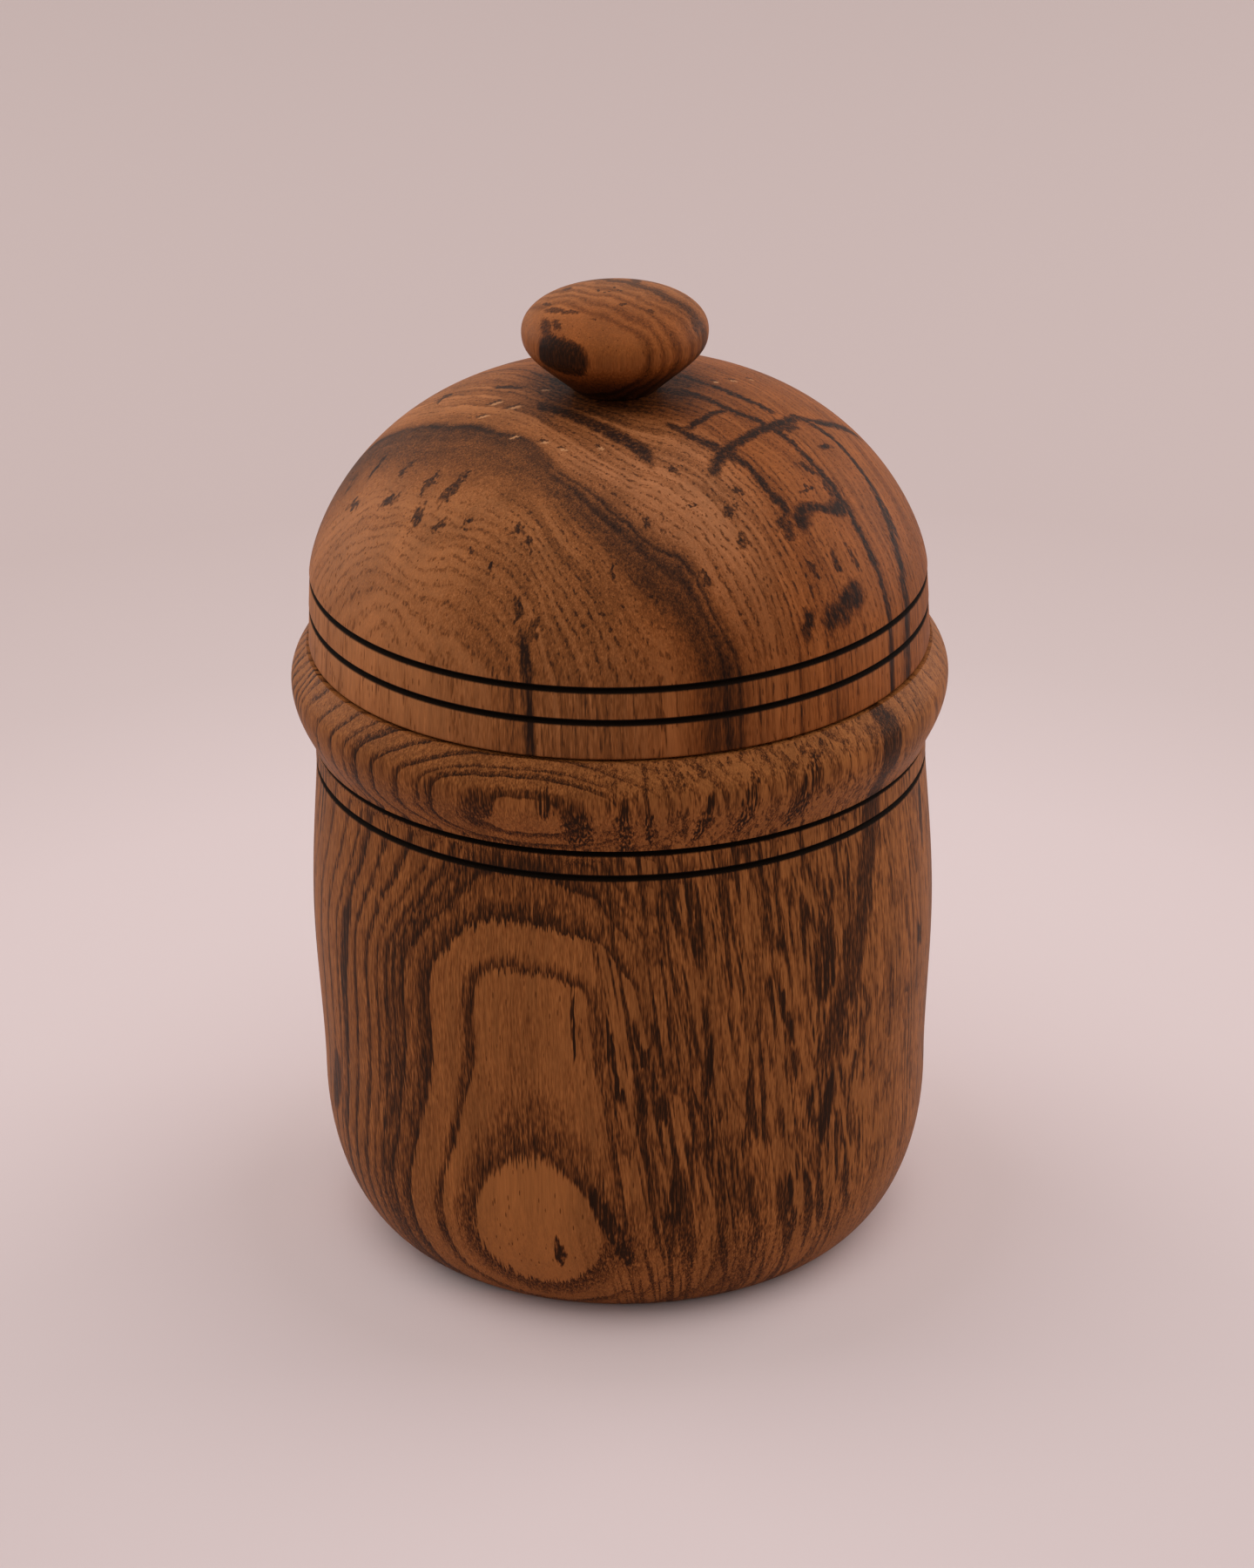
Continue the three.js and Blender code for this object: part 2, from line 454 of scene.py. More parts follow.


# %% [markdown]
# Two more nodes turn given numbers into looks: a curve through points, and a ramp between shades.


# %% Curves and ramps
def drawn(number, points):
    """A curve drawn through given (number, result) points."""
    tree = number.tree
    low, high = points[0][0], points[-1][0]
    least = min(result for _, result in points)
    most = max(result for _, result in points)
    node = tree.nodes.new("ShaderNodeFloatCurve")
    line = node.mapping.curves[0]
    while len(line.points) < len(points):
        line.points.new(0.5, 0.5)
    for point, (place, result) in zip(line.points, points):
        point.location = ((place - low) / (high - low), (result - least) / (most - least))
    node.mapping.update()
    plug(tree, node.inputs["Value"], (number - low) * (1 / (high - low)))
    return Number(tree, node.outputs[0]) * (most - least) + least


def ramp(number, stops):
    """A ramp between grey levels or colours, given as (number, level) stops."""
    tree = number.tree
    low, high = stops[0][0], stops[-1][0]
    node = tree.nodes.new("ShaderNodeValToRGB")
    elements = node.color_ramp.elements
    while len(elements) < len(stops):
        elements.new(0.5)
    for element, (place, level) in zip(elements, stops):
        element.position = (place - low) / (high - low)
        element.color = (*level, 1) if isinstance(level, tuple) else (level, level, level, 1)
    plug(tree, node.inputs[0], (number - low) * (1 / (high - low)))
    return Number(tree, node.outputs[0])


# %% [markdown]
# ## The grain
# The tree's fibres run up the axis of the lathe, so everything small in this wood is narrow across and
# long up and down: noise is stretched along Z. Where the turned surface stands upright the fibres show as
# fine lines, and on the dome, where it cuts across them, the same noise shows as dots. The place is
# measured in millimetres, in the block that the piece was turned from.

# %% Fibres, pores and marks
NOISE_STEP = (7.3, 3.1, 5.7)
PORE_EDGE = 0.04


class Finish:
    """A material, with the point being coloured as a place in the block, in millimetres."""

    def __init__(self, name, turn_by=0.0):
        self.material = bpy.data.materials.new(name)
        self.material.use_nodes = True
        self.tree = self.material.node_tree
        self.shader = self.tree.nodes["Principled BSDF"]
        coordinates = self.tree.nodes.new("ShaderNodeTexCoord")
        mapping = self.tree.nodes.new("ShaderNodeMapping")
        mapping.inputs["Rotation"].default_value = (0, 0, turn_by)
        mapping.inputs["Scale"].default_value = (1 / MM, 1 / MM, 1 / MM)
        self.tree.links.new(coordinates.outputs["Object"], mapping.inputs["Vector"])
        self.place = Number(self.tree, mapping.outputs[0])
        separate = self.tree.nodes.new("ShaderNodeSeparateXYZ")
        plug(self.tree, separate.inputs[0], self.place)
        self.x, self.y, self.z = (Number(self.tree, output) for output in separate.outputs)
        self.flat = self.place.vector("MULTIPLY", (1, 1, 0))
        self.radius = self.flat.vector("LENGTH")
        self.seed = 0

    def cells(self, size, place=None):
        """A place measured in cells of this size; each call starts from another corner."""
        self.seed += 1
        shift = tuple(step * self.seed for step in NOISE_STEP)
        return (place or self.place).vector("MULTIPLY_ADD", tuple(1 / s for s in size), shift)

    def noise(self, size, detail=0.0, place=None, output="Fac"):
        node = self.tree.nodes.new("ShaderNodeTexNoise")
        plug(self.tree, node.inputs["Vector"], self.cells(size, place))
        node.inputs["Scale"].default_value = 1
        node.inputs["Detail"].default_value = detail
        return Number(self.tree, node.outputs[output])

    def fibre(self, width, length, detail=0.0, place=None):
        """Noise drawn out along the grain, mostly between -0.2 and 0.2."""
        return self.noise((width, width, length), detail, place) - 0.5

    def fibres(self, layers, place=None):
        """Layers of fibre noise added up, each given by its width, its length and how strong it is."""
        total = None
        for width, length, strength in layers:
            layer = self.fibre(width, length, 0, place) * strength
            total = total + layer if total else layer
        return total

    def pores(self, width, length, size):
        """1 in the middle of short open tubes that lie about one to each cell, and 0 outside them."""
        node = self.tree.nodes.new("ShaderNodeTexVoronoi")
        plug(self.tree, node.inputs["Vector"], self.cells((width, width, length)))
        node.inputs["Scale"].default_value = 1
        return smooth(PORE_EDGE, -PORE_EDGE, Number(self.tree, node.outputs["Distance"]) - size)

    def carried_out(self, radius, share):
        """The place, carried straight out from the axis to this radius, so that marks there run inwards."""
        outward = self.flat.vector("NORMALIZE").scaled(radius)
        step = outward.vector("SUBTRACT", self.flat)
        return step.scaled(share).vector("ADD", self.place)

    def leaning(self, turned, place):
        """The place in a block turned by these angles, for fibres that don't stand upright."""
        node = self.tree.nodes.new("ShaderNodeMapping")
        plug(self.tree, node.inputs[0], place)
        node.inputs["Rotation"].default_value = turned
        return Number(self.tree, node.outputs[0])

    def ragged(self, width, length, reach, rise):
        """The place shaken from side to side and up and down, so that what is drawn there has rough edges."""
        shake = self.noise((width, width, length), 1, output="Color").vector("SUBTRACT", (0.5, 0.5, 0.5))
        return shake.vector("MULTIPLY_ADD", (reach, reach, rise), self.place)

    def drawn_out(self, across, along, size):
        """Noise in thin streaks that follow the lines where one number stays the same."""
        node = self.tree.nodes.new("ShaderNodeCombineXYZ")
        for socket, value in zip(node.inputs, (across, along, self.z)):
            plug(self.tree, socket, value)
        return self.noise(size, 1, Number(self.tree, node.outputs[0])) - 0.5

    def measured_from(self, place, centre, sizes, turned):
        """A place, measured from a turned mark's centre in half sizes of the mark."""
        node = self.tree.nodes.new("ShaderNodeMapping")
        node.vector_type = "TEXTURE"
        plug(self.tree, node.inputs["Vector"], place)
        node.inputs["Location"].default_value = centre
        node.inputs["Rotation"].default_value = turned
        node.inputs["Scale"].default_value = sizes
        return Number(self.tree, node.outputs[0])

    def within(self, place, centre, sizes, turned=(0, 0, 0)):
        """How far out a place is in an ellipsoid: 0 at its centre and 1 on its skin."""
        return self.measured_from(place, centre, sizes, turned).vector("LENGTH")


# %% [markdown]
# ## Dark fibres
# Seen close, a dark stripe isn't a brown band: some of its fibres are nearly black and the ones between
# are as pale as the rest. So the figure only says how large a share of the fibres is dark at a place, and
# noise decides which ones. Oil fills the pores and leaves a satin gloss.

# %% From dark fibres to a finish
# Fibre noise: width and length in millimetres, then how strong or how rough it is.
DASHES = [(0.36, 5, 1.2), (0.15, 1.5, 1.5)]
FINE_FIBRE = (0.16, 6, 1)
COARSE_FIBRE = (0.55, 18)
BROAD_CLOUDS = (5, 40)
PORE_SPACING = (0.85, 4.5)
# How much of it shows.
STRONG_DASHES = 2.0
SOFT_DASHES = 1.1
DASHES_END = 1.25
PORE_DARKNESS = 0.5
FINE_TINT = 0.55
COARSE_TINT = 0.45
BROAD_TINT = 0.4
# Colours, and how burned wood fades.
RAW_WOOD = (1.02, 1.12, 1.3)
BURNED = (0.007, 0.0035, 0.0018)
SCORCHED_WIDTH = 0.12
CHARRED_EDGE = 0.2
BURNED_DEPTH = 4
CHIPPED = (0.50, 0.23, 0.10)
CHIPS_SHOW = 0.8
# The oil, and what makes it rougher than satin.
SATIN = 0.5
PORE_ROUGHNESS = 0.2
FIBRE_ROUGHNESS = 0.25
RAW_ROUGHNESS = 0.2
BURNED_ROUGHNESS = 0.35
OIL_IOR = 1.45
OIL_SHINE = 0.07
BUMP_HEIGHT = 0.1
BUMP_STRENGTH = 0.5


def dark_fibres(finish, share, strength):
    """Breaks a share of dark wood up into dark and pale fibres, most of all where it is about a half."""
    return share + finish.fibres(DASHES) * share * (DASHES_END - share) * strength


def burned(finish, heights, outer_radius):
    """1 in the burned lines, fading out in the wood that the wire scorched beside them."""
    nearest = abs(finish.z - heights[0])
    for height in heights[1:]:
        nearest = nearest.math("MINIMUM", abs(finish.z - height))
    outside = smooth(outer_radius - BURNED_DEPTH, outer_radius - BURNED_DEPTH + 1, finish.radius)
    return smooth(LINE_WIDTH / 2 + SCORCHED_WIDTH, LINE_WIDTH / 2 - CHARRED_EDGE, nearest) * outside


def finish_wood(finish, share, shades, dashes, pore_size, lines=None, raw=None, warmth=None, chips=None):
    fine = finish.fibre(*FINE_FIBRE)
    coarse = finish.fibre(*COARSE_FIBRE)
    broad = finish.fibre(*BROAD_CLOUDS)
    pores = finish.pores(*PORE_SPACING, pore_size)
    amount = larger(dark_fibres(finish, share + coarse * 0.15, dashes), pores * PORE_DARKNESS)
    colour = ramp(amount, shades)
    if warmth:
        colour = colour.vector("MULTIPLY", warmth)
    colour = colour.scaled(fine * FINE_TINT + coarse * COARSE_TINT + broad * BROAD_TINT + 1)
    if chips:
        colour = mixed(chips * CHIPS_SHOW, colour, CHIPPED)
    roughness = pores * PORE_ROUGHNESS + fine * FIBRE_ROUGHNESS + SATIN
    if raw:
        colour = mixed(raw, colour, colour.vector("MULTIPLY", RAW_WOOD))
        roughness = roughness + raw * RAW_ROUGHNESS
    if lines:
        colour = mixed(lines, colour, BURNED)
        roughness = roughness + lines * BURNED_ROUGHNESS
    plug(finish.tree, finish.shader.inputs["Base Color"], colour)
    plug(finish.tree, finish.shader.inputs["Roughness"], roughness)
    finish.shader.inputs["IOR"].default_value = OIL_IOR
    finish.shader.inputs["Specular IOR Level"].default_value = OIL_SHINE
    bump = finish.tree.nodes.new("ShaderNodeBump")
    bump.inputs["Distance"].default_value = BUMP_HEIGHT * MM
    bump.inputs["Strength"].default_value = BUMP_STRENGTH
    plug(finish.tree, bump.inputs["Height"], fine * 0.6 - pores)
    finish.tree.links.new(bump.outputs[0], finish.shader.inputs["Normal"])
    print(finish.material.name, "is a sum of", len(finish.tree.nodes), "nodes")
    return finish.material


# %% [markdown]
# ## The figure of the pot
# A tree's rings are nested shells. The lathe cuts through them, and where it just grazes a shell, the ring
# shows as an oval or an arch; where it cuts across, as stripes. The block is turned so that the grazing
# side faces forward and a little left. Every ring is a level of one number, `layer`: how deep the point
# lies behind the front of the block, bent a little towards the sides, and shifted up and down the block by
# a curve, because the shells bulge. The right-hand side leans, so it has a curve of its own.

# %% Rings of the pot
FIGURE_TURN = 17
BLOCK_FRONT = 52.4
SHELL_BEND = 250
BULGE = [(0, -8.6), (4, -7.3), (6, -6.9), (10, -6.0), (20, -4.3), (28, -3.1), (33, -2.3), (38, -1.5),
         (45, -0.5), (50, 0), (60, 0.1), (65, 0.3), (68, 1.1), (72, 2.0), (75.5, 3.3), (80, 4.3),
         (84, 5.2), (87, 5.8), (89.6, 8.7), (92.5, 7.4), (96, 8.4), (99.7, 9.2), (103, 10.7), (106, 11.8)]
LEANING_BULGE = [(0, -10.4), (10, -9.0), (24, -7.1), (40, -3.5), (55, -0.6), (67.5, 0.6), (75, 1.4),
                 (84, 3.4), (88, 5.0), (89.6, 7.0), (92.5, 6.8), (96, 8.2), (99.7, 9.0), (103, 10.1),
                 (106, 11)]
# Each ring: the level where it starts, its share of dark fibres there, the level where it has faded
# out, and the share that is left beyond it.
NEAR_RINGS = [(-1.5, 0.72, 0.1, 0.14), (1.0, 0.8, 1.9, 0.18), (4.05, 0.95, 5.4, 0.42),
              (6.5, 0.98, 7.2, 0.6), (7.7, 0.98, 8.1, 0.46), (8.6, 0.95, 9.4, 0.32)]
COLLAR_START = (5, 0.2)
NEAR_START = (-4, 0)
COLLAR_RINGS = [(6.7, 0.88, 7.7, 0.28), (9.0, 0.95, 9.9, 0.4)]
DEEP_RINGS = [(10.2, 0.8, 10.8, 0.26), (12, 0.95, 13.0, 0.26), (14.8, 0.95, 15.8, 0.24),
              (17.8, 1.0, 19.6, 0.28), (20.3, 0.8, 21.2, 0.22), (23.4, 0.85, 24.5, 0.2),
              (27.6, 0.8, 28.7, 0.2)]
STREAK_LEAN = radians(9)
FAR_RINGS_START = 31
FAR_RING_SPACING = 2.6
# Two places each, between which one part of the figure gives way to another.
INTO_BODY = (91, 87)
INTO_RIGHT = (-2, 14)
INTO_LEANING_SIDE = (12, 24)
INTO_TANGLE = (6, 28)
INTO_BACK = (34, 60)
# Fibre noise that shakes the rings: width, length, and how far it moves them.
TEETH = [(0.7, 35, 2.6), (0.22, 14, 4.5)]
TANGLE = [(5, 120, 8), (2.2, 70, 2.5)]
WANDER = [(9, 60, 0.9), (2.5, 26, 0.35)]
FAR_WANDER = [(9, 200, 3)]
FAR_SHARES = [(4, 300, 1.6)]


def ring_stops(start, before, rings):
    """Stops for a ramp: each ring starts with a sharp edge and fades out towards its end."""
    stops = [(start, before)]
    for low, share, high, left in rings:
        stops.append((low - 0.07, before))
        stops.append((low + 0.05, share))
        stops.append((blend(0.45, low, high), blend(0.4, share, left)))
        stops.append((high, left))
        before = left
    return stops


def pot_rings(finish):
    x, z = finish.x, finish.z
    on_body = smooth(*INTO_BODY, z)
    outside = finish.carried_out(belly_radius, on_body)
    teeth = finish.fibres(TEETH, outside)
    depth = finish.y + BLOCK_FRONT
    calmer = 1 - smooth(*INTO_RIGHT, x) * 0.8
    calmer = calmer * (on_body * 0.9 + 0.1) * (1 - smooth(*INTO_BACK, depth) * 0.6)
    height = z + teeth * calmer
    bent = depth + x * x / ((depth + SHELL_BEND) * 2)
    bulge = blend(smooth(*INTO_LEANING_SIDE, x), drawn(height, BULGE), drawn(height, LEANING_BULGE))
    leaning = finish.leaning((0, STREAK_LEAN, 0), outside)
    tangle = finish.fibres(TANGLE, leaning) * smooth(*INTO_TANGLE, x) * on_body
    layer = bent + bulge + finish.fibres(WANDER) + tangle
    middle = (NEAR_RINGS[-1][2] + DEEP_RINGS[0][0]) / 2
    collar = ramp(layer, ring_stops(*COLLAR_START, COLLAR_RINGS))
    near = blend(on_body, collar, ramp(layer, ring_stops(*NEAR_START, NEAR_RINGS)))
    deep = ramp(layer, ring_stops(middle, NEAR_RINGS[-1][3], DEEP_RINGS))
    share = blend(smooth(middle, middle + 0.02, layer), near, deep)
    count = layer * (1 / FAR_RING_SPACING) + finish.fibres(FAR_WANDER)
    uneven = finish.fibres(FAR_SHARES) + 0.6
    far = smooth(0.7, 0.05, count.math("FRACT")) * uneven + 0.1
    return blend(smooth(FAR_RINGS_START, FAR_RINGS_START + 2, layer), share, far), depth, leaning, on_body


# %% [markdown]
# The right-hand side looks braided: long dark lenses lean over to the right, run into each other and part
# again. Noise on a leaning copy of the block gives that. The largest streaks and flecks are placed one by
# one, each as an ellipsoid in the wood, by its angle round the pot and its height.

# %% Streaks and flecks of the pot
WIDE_SPINDLES = (1.2, 75)
NARROW_SPINDLES = (0.6, 45)
SPINDLE_PATCHES = (5, 70)
INTO_STREAKS = (2, 18)
# The wide streak: its depth in the block at each height.
WIDE_STREAK = [(30, 24), (45, 24), (60, 28), (74, 32), (86, 34), (106, 34)]
WIDE_STREAK_EDGE = [(1.6, 30, 4)]
# Angle round the pot in degrees, height, half width, half height, and lean to the right going down.
FLECKS = [(-3, 20, 1.7, 11, 0.42), (9, 25, 1.1, 7, -0.05), (32, 22, 0.9, 4, 0.05), (40, 36, 1.5, 7, -0.15),
          (36, 38, 0.8, 5, -0.1), (39, 64, 2.6, 8, -0.1), (-13, 14, 0.9, 3, 0), (-62, 58, 1.3, 13, -0.15),
          (-72, 30, 2.5, 7, -0.3), (13, 76, 1.2, 9, 0.1), (30, 57, 0.8, 8, 0.25), (5, 48, 1.0, 12, 0.3),
          (-9, 58, 0.35, 7, 0), (-2, 52, 0.6, 9, 0.15), (15, 50, 0.8, 7, -0.1), (23, 40, 0.7, 8, 0),
          (71, 57, 1.6, 2.5, 0), (75, 78, 1.2, 6, 0)]
COLLAR_COLUMNS = [(-7.5, 95, 2.6, 5.5, 0), (0.5, 94.5, 1.4, 5.5, 0), (4.5, 96.5, 0.6, 7, 0.1),
                  (-13, 99, 1.5, 3, 0), (14, 95, 0.9, 6, -0.3), (22, 96, 1.6, 6, -0.3),
                  (33, 97, 1.9, 7, -0.4)]
FLECK_THICKNESS = 6
FLECK_REACH = 1.6


def pot_streaks(finish, depth, leaning, on_body):
    """Shares of dark wood in the braid and in the wide streak on the right-hand side."""
    wide = finish.fibre(*WIDE_SPINDLES, 0, leaning)
    narrow = finish.fibre(*NARROW_SPINDLES, 0, leaning)
    patches = smooth(-0.12, 0.14, finish.fibre(*SPINDLE_PATCHES, 0, leaning))
    spindles = smooth(0.02, 0.2, wide) * 0.68
    spindles = larger(spindles, smooth(0.0, 0.18, narrow) * (patches * 0.45 + 0.2))
    shaded = (smooth(38, 28, depth) * 0.6 + 0.4) * (smooth(4, 30, finish.z) * 0.25 + 0.75)
    share = (spindles * shaded + 0.14) * smooth(*INTO_STREAKS, finish.x) * (on_body * 0.35 + 0.65)
    off = abs(depth - drawn(finish.z, WIDE_STREAK) + finish.fibres(WIDE_STREAK_EDGE))
    streak = smooth(3.4, 1.4, off) * smooth(34, 50, finish.z) * smooth(0, 4, finish.x)
    return larger(share, streak * 0.8)


def pot_flecks(finish, flecks, rise):
    """1 in flecks, whose edges are shaken up and down by as much as rise says."""
    place = finish.ragged(0.7, 5, FLECK_REACH, rise)
    nearest = None
    for angle, height, half_width, half_height, lean in flecks:
        turned = radians(angle + FIGURE_TURN)
        centre = (belly_radius * sin(turned), -belly_radius * cos(turned), height)
        sizes = (half_width, FLECK_THICKNESS, half_height)
        distance = finish.within(place, centre, sizes, (0, -atan(lean), turned))
        nearest = nearest.math("MINIMUM", distance) if nearest else distance
    return smooth(1.3, 0.7, nearest)


# %% [markdown]
# The pot's finish puts rings, braid, streaks and flecks together. The hollow wasn't oiled, so its bare
# wood is a little paler and duller.

# %% Striped wood
POT_PORES = 0.13
COLUMN_RISE = 4
COLUMN_MOTTLE = (0.35, 40)
FLECK_RISE = 6
FLECK_MOTTLE = (0.5, 35)
STRIPED_SHADES = [(0.0, (0.32, 0.111, 0.030)), (0.35, (0.18, 0.055, 0.0135)), (0.65, (0.08, 0.0235, 0.006)),
                  (1.0, (0.024, 0.0085, 0.003))]


def make_striped_wood():
    finish = Finish("striped_wood", radians(FIGURE_TURN))
    rings, depth, leaning, on_body = pot_rings(finish)
    weaker = smooth(4, 20, finish.x) * 0.4 + (1 - on_body) * 0.1
    share = larger(rings * (1 - weaker), pot_streaks(finish, depth, leaning, on_body))
    columns = pot_flecks(finish, COLLAR_COLUMNS, COLUMN_RISE)
    columns = columns * (finish.fibre(*COLUMN_MOTTLE) * 2.6 + 0.72)
    flecks = pot_flecks(finish, FLECKS, FLECK_RISE)
    flecks = flecks * (finish.fibre(*FLECK_MOTTLE) * 1.6 + 0.92)
    share = larger(larger(share, flecks), columns)
    lines = burned(finish, (LOWER_BODY_LINE, UPPER_BODY_LINE), neck_radius)
    raw = smooth(mouth_radius + 1.5, mouth_radius + 0.3, finish.radius) * smooth(6, 8, finish.z)
    return finish_wood(finish, share, STRIPED_SHADES, STRONG_DASHES, POT_PORES, lines, raw)


pot.data.materials.append(make_striped_wood())

# %% [markdown]
# ## The figure of the lid
# The lid comes from a paler board with dark ink lines, which fungus leaves in wood that has lain. Seen
# from above they are free curves, so each one is drawn over the plan of the lid, through listed points:
# x to the right, y away from the front. They go straight down through the block, and where they
# reach the upright side of the lid they cross the burned lines as upright stripes.

# %% Drawing on the plan of the lid
STROKE_WANDER = [(1.5, 20, 1.1), (0.5, 9, 0.7)]
# Marks are centred half way up the lid and reach right through it.
MID_LID = 130
RIGHT_THROUGH = 500


def stroke(finish, points, half_width, steep=False):
    """1 on a ragged line through the points. A steep line is drawn along y instead of x."""
    along, across = (finish.y, finish.x) if steep else (finish.x, finish.y)
    points = sorted((y, x) for x, y in points) if steep else sorted(points)
    (start, first), (end, last) = points[0], points[-1]
    slant = cos(atan((last - first) / (end - start)))
    off = abs(across - drawn(along, points)) * slant + finish.fibres(STROKE_WANDER)
    ends = smooth(start - 1, start + 1, along) * smooth(end + 1, end - 1, along)
    return smooth(half_width * 2.1 + 0.35, half_width * 0.4, off) * ends


def spots(finish, place, marks):
    """1 in the middle of soft-edged spots: x, y, half sizes and turn in degrees."""
    nearest = None
    for x, y, half_width, half_height, turned in marks:
        sizes = (half_width, half_height, RIGHT_THROUGH)
        distance = finish.within(place, (x, y, MID_LID), sizes, (0, 0, radians(turned)))
        nearest = nearest.math("MINIMUM", distance) if nearest else distance
    return smooth(1.35, 0.55, nearest)


# %% [markdown]
# The broad dark band sweeps from the left over the dome and down its front. It is wide and soft on the
# left, and narrow and sharp on the right.

# %% Lines of the lid
MAIN_BAND = [(-52, 13), (-42, 5), (-37, 0), (-30, -8), (-20, -16), (-14, -22), (-9, -29), (-4, -34),
             (0, -38), (5, -41), (10, -43), (17, -48), (26, -56)]
BAND_SLANT = cos(radians(41))
LEFT_BAND = [(-14, 0.06), (-10, 0.25), (-6, 0.5), (-3, 0.62), (0, 0.66), (1.5, 0.78), (2.3, 0.92),
             (2.8, 0.66), (3.5, 0.34), (6, 0.22), (10, 0.08)]
RIGHT_BAND = [(-6.5, 0.08), (-4, 0.4), (-2.4, 0.7), (-0.9, 0.66), (-0.3, 0.9), (0.4, 0.7), (0.9, 0.5),
              (1.3, 0.9), (1.9, 0.45), (3.2, 0.22), (6.5, 0.06)]
GROWTH_SPACING = 1.35
# Each ink line: its points, its half width, and whether it is steep.
INK_LINES = [
    (((-13, -7), (-9, -10), (-7, -12), (-3, -16), (0, -19), (3, -22), (6, -25)), 1.2, False),
    (((10, -1), (14, -4), (19, -8), (23, -9.5), (27, -11.5), (31, -15), (35, -18), (39, -22), (46, -28)),
     0.5, False),
    (((8, -15), (11, -17.5), (15, -20), (20, -22), (24, -26), (28, -28.5)), 0.65, False),
    (((29, -30), (31, -25), (33, -24), (36, -20), (34, -18)), 0.8, True),
    (((40, 8), (37, 4), (33, -1), (30, -3), (28, -6), (25, -10), (23, -13), (20, -17), (18, -20),
      (16, -24), (15.5, -27)), 0.6, True),
    (((18, -8), (15, -11), (13, -14), (11, -17)), 0.45, True),
    (((30, -3), (35, -4), (40, -8), (46, -14)), 0.35, False),
    (((35, -7), (33, -10)), 0.25, True),
    (((39, -29.5), (36, -34), (33, -38)), 0.5, True),
    (((31, -38), (29.5, -41)), 0.4, True),
    (((10, 6), (16, 1), (26, -5)), 0.45, False),
    (((42, -10), (46, -18), (48, -24)), 0.5, True),
    (((-20, 4), (-15, 1)), 0.4, False),
    (((-41, -7), (-37, -4)), 0.3, False),
    (((-15.5, -46), (-15, -48), (-14, -52)), 0.6, True),
]
SPOTS = [
    (27.5, -8.5, 3.4, 1.5, 55), (18, -32.5, 1.5, 1.0, 20), (20, -36, 0.7, 1.0, 0),
    (19.5, -28.5, 1.3, 0.8, 30), (27, -31, 1.5, 1.9, 30), (31, -34, 1.2, 0.7, 0),
    (38, -27, 1.2, 0.6, -45), (35, -30, 1.4, 0.7, -60),
    (31, -17.5, 1.9, 0.8, 0), (34, -19, 1.6, 1.0, -50), (30.5, -22, 1.6, 0.5, 60), (4.5, -37, 0.6, 1.2, 10),
    (3.5, -40, 0.6, 1.1, 30), (10, -43, 1.0, 0.8, 0), (14, -42, 1.2, 0.8, 0), (9, -27, 1.3, 0.7, -45),
    (-43, -10, 0.8, 1.7, 30), (-37, -17.5, 1.8, 1.0, -30), (-34, -13, 1.6, 1.1, 20),
    (-26, -23.5, 3.6, 1.2, 40), (-32, -25, 1.9, 0.9, 60), (-28.5, -29, 1.2, 0.7, 0),
    (-24, -31, 0.9, 0.7, 0), (-23, -36, 0.8, 0.8, 0),
    (-20.5, -39, 0.9, 0.6, 0), (-16, -35.5, 0.8, 0.8, 0), (-14, -38, 0.7, 1.0, 0), (-16, -44.2, 0.7, 1.6, 30),
    (-13, -46.5, 0.9, 0.9, 0), (-30, -20, 2.4, 1.0, 40), (-1, -43, 0.7, 0.8, 0), (6, -45, 0.8, 0.8, 0),
    (-28.5, 7.5, 2.2, 0.8, 40), (-44, -2, 2.0, 0.6, 50), (12, -33, 0.8, 0.5, 0),
]
TORN_PITS = [(-20, -3, 1.6, 0.5, 20), (-17, -6, 1.8, 0.5, 10), (-22, -7, 1.3, 0.4, 0), (-12, 0, 1.2, 0.5, 0),
             (-17, -16, 1.2, 0.4, 10), (-12, -19, 1.0, 0.4, -10), (-9, -21.5, 0.9, 0.4, -20),
             (-3, -22, 0.8, 0.4, -30), (16, 4, 0.8, 0.4, -20), (19, 6, 0.9, 0.4, 0), (22, 9, 0.7, 0.4, 0)]
CHIP_STEP = (0.5, -0.7)
CHIP_SIZE = (0.7, 0.8)
print(len(INK_LINES), "ink lines,", len(SPOTS), "spots and", len(TORN_PITS), "torn pits on the lid")


# %% [markdown]
# Beside the band run faint rings and dotted rows of pores. Where the band, the rings, the ink lines, the
# spots and the torn pits meet, the darkest of them shows.

# %% Rings and ink of the lid
LID_RINGS = [(-30, 0.02), (-24, 0.02), (-23, 0.12), (-21, 0.03), (-17.5, 0.02), (-16.5, 0.14), (-14, 0.03),
             (-11, 0.05), (3, 0.05), (5, 0.14), (6, 0.04), (8.6, 0.04), (9.2, 0.2), (10.2, 0.06),
             (12, 0.08), (12.5, 0.25), (13.6, 0.1), (17, 0.1), (17.5, 0.3), (18.6, 0.1), (23, 0.12),
             (23.5, 0.3), (24.5, 0.1), (30, 0.1), (30.6, 0.25), (32, 0.1), (60, 0.1)]
LID_WANDER = [(7, 60, 2), (1.4, 20, 0.7)]
RING_WANDER = [(3, 40, 2)]
BAND_MOTTLE = (1.8, 30, 1)
PORE_DOTS = (0.5, 5)
FINE_ARCS = (0.5, 9, 60)
WIDE_ARCS = (1.8, 22, 60)
NECK_MOTTLE = (0.7, 12, 1)
INK_MOTTLE = (0.6, 10, 1)
FRONT_CENTRE = (12, -36, MID_LID)
FRONT_SIZE = (26, 17, RIGHT_THROUGH)


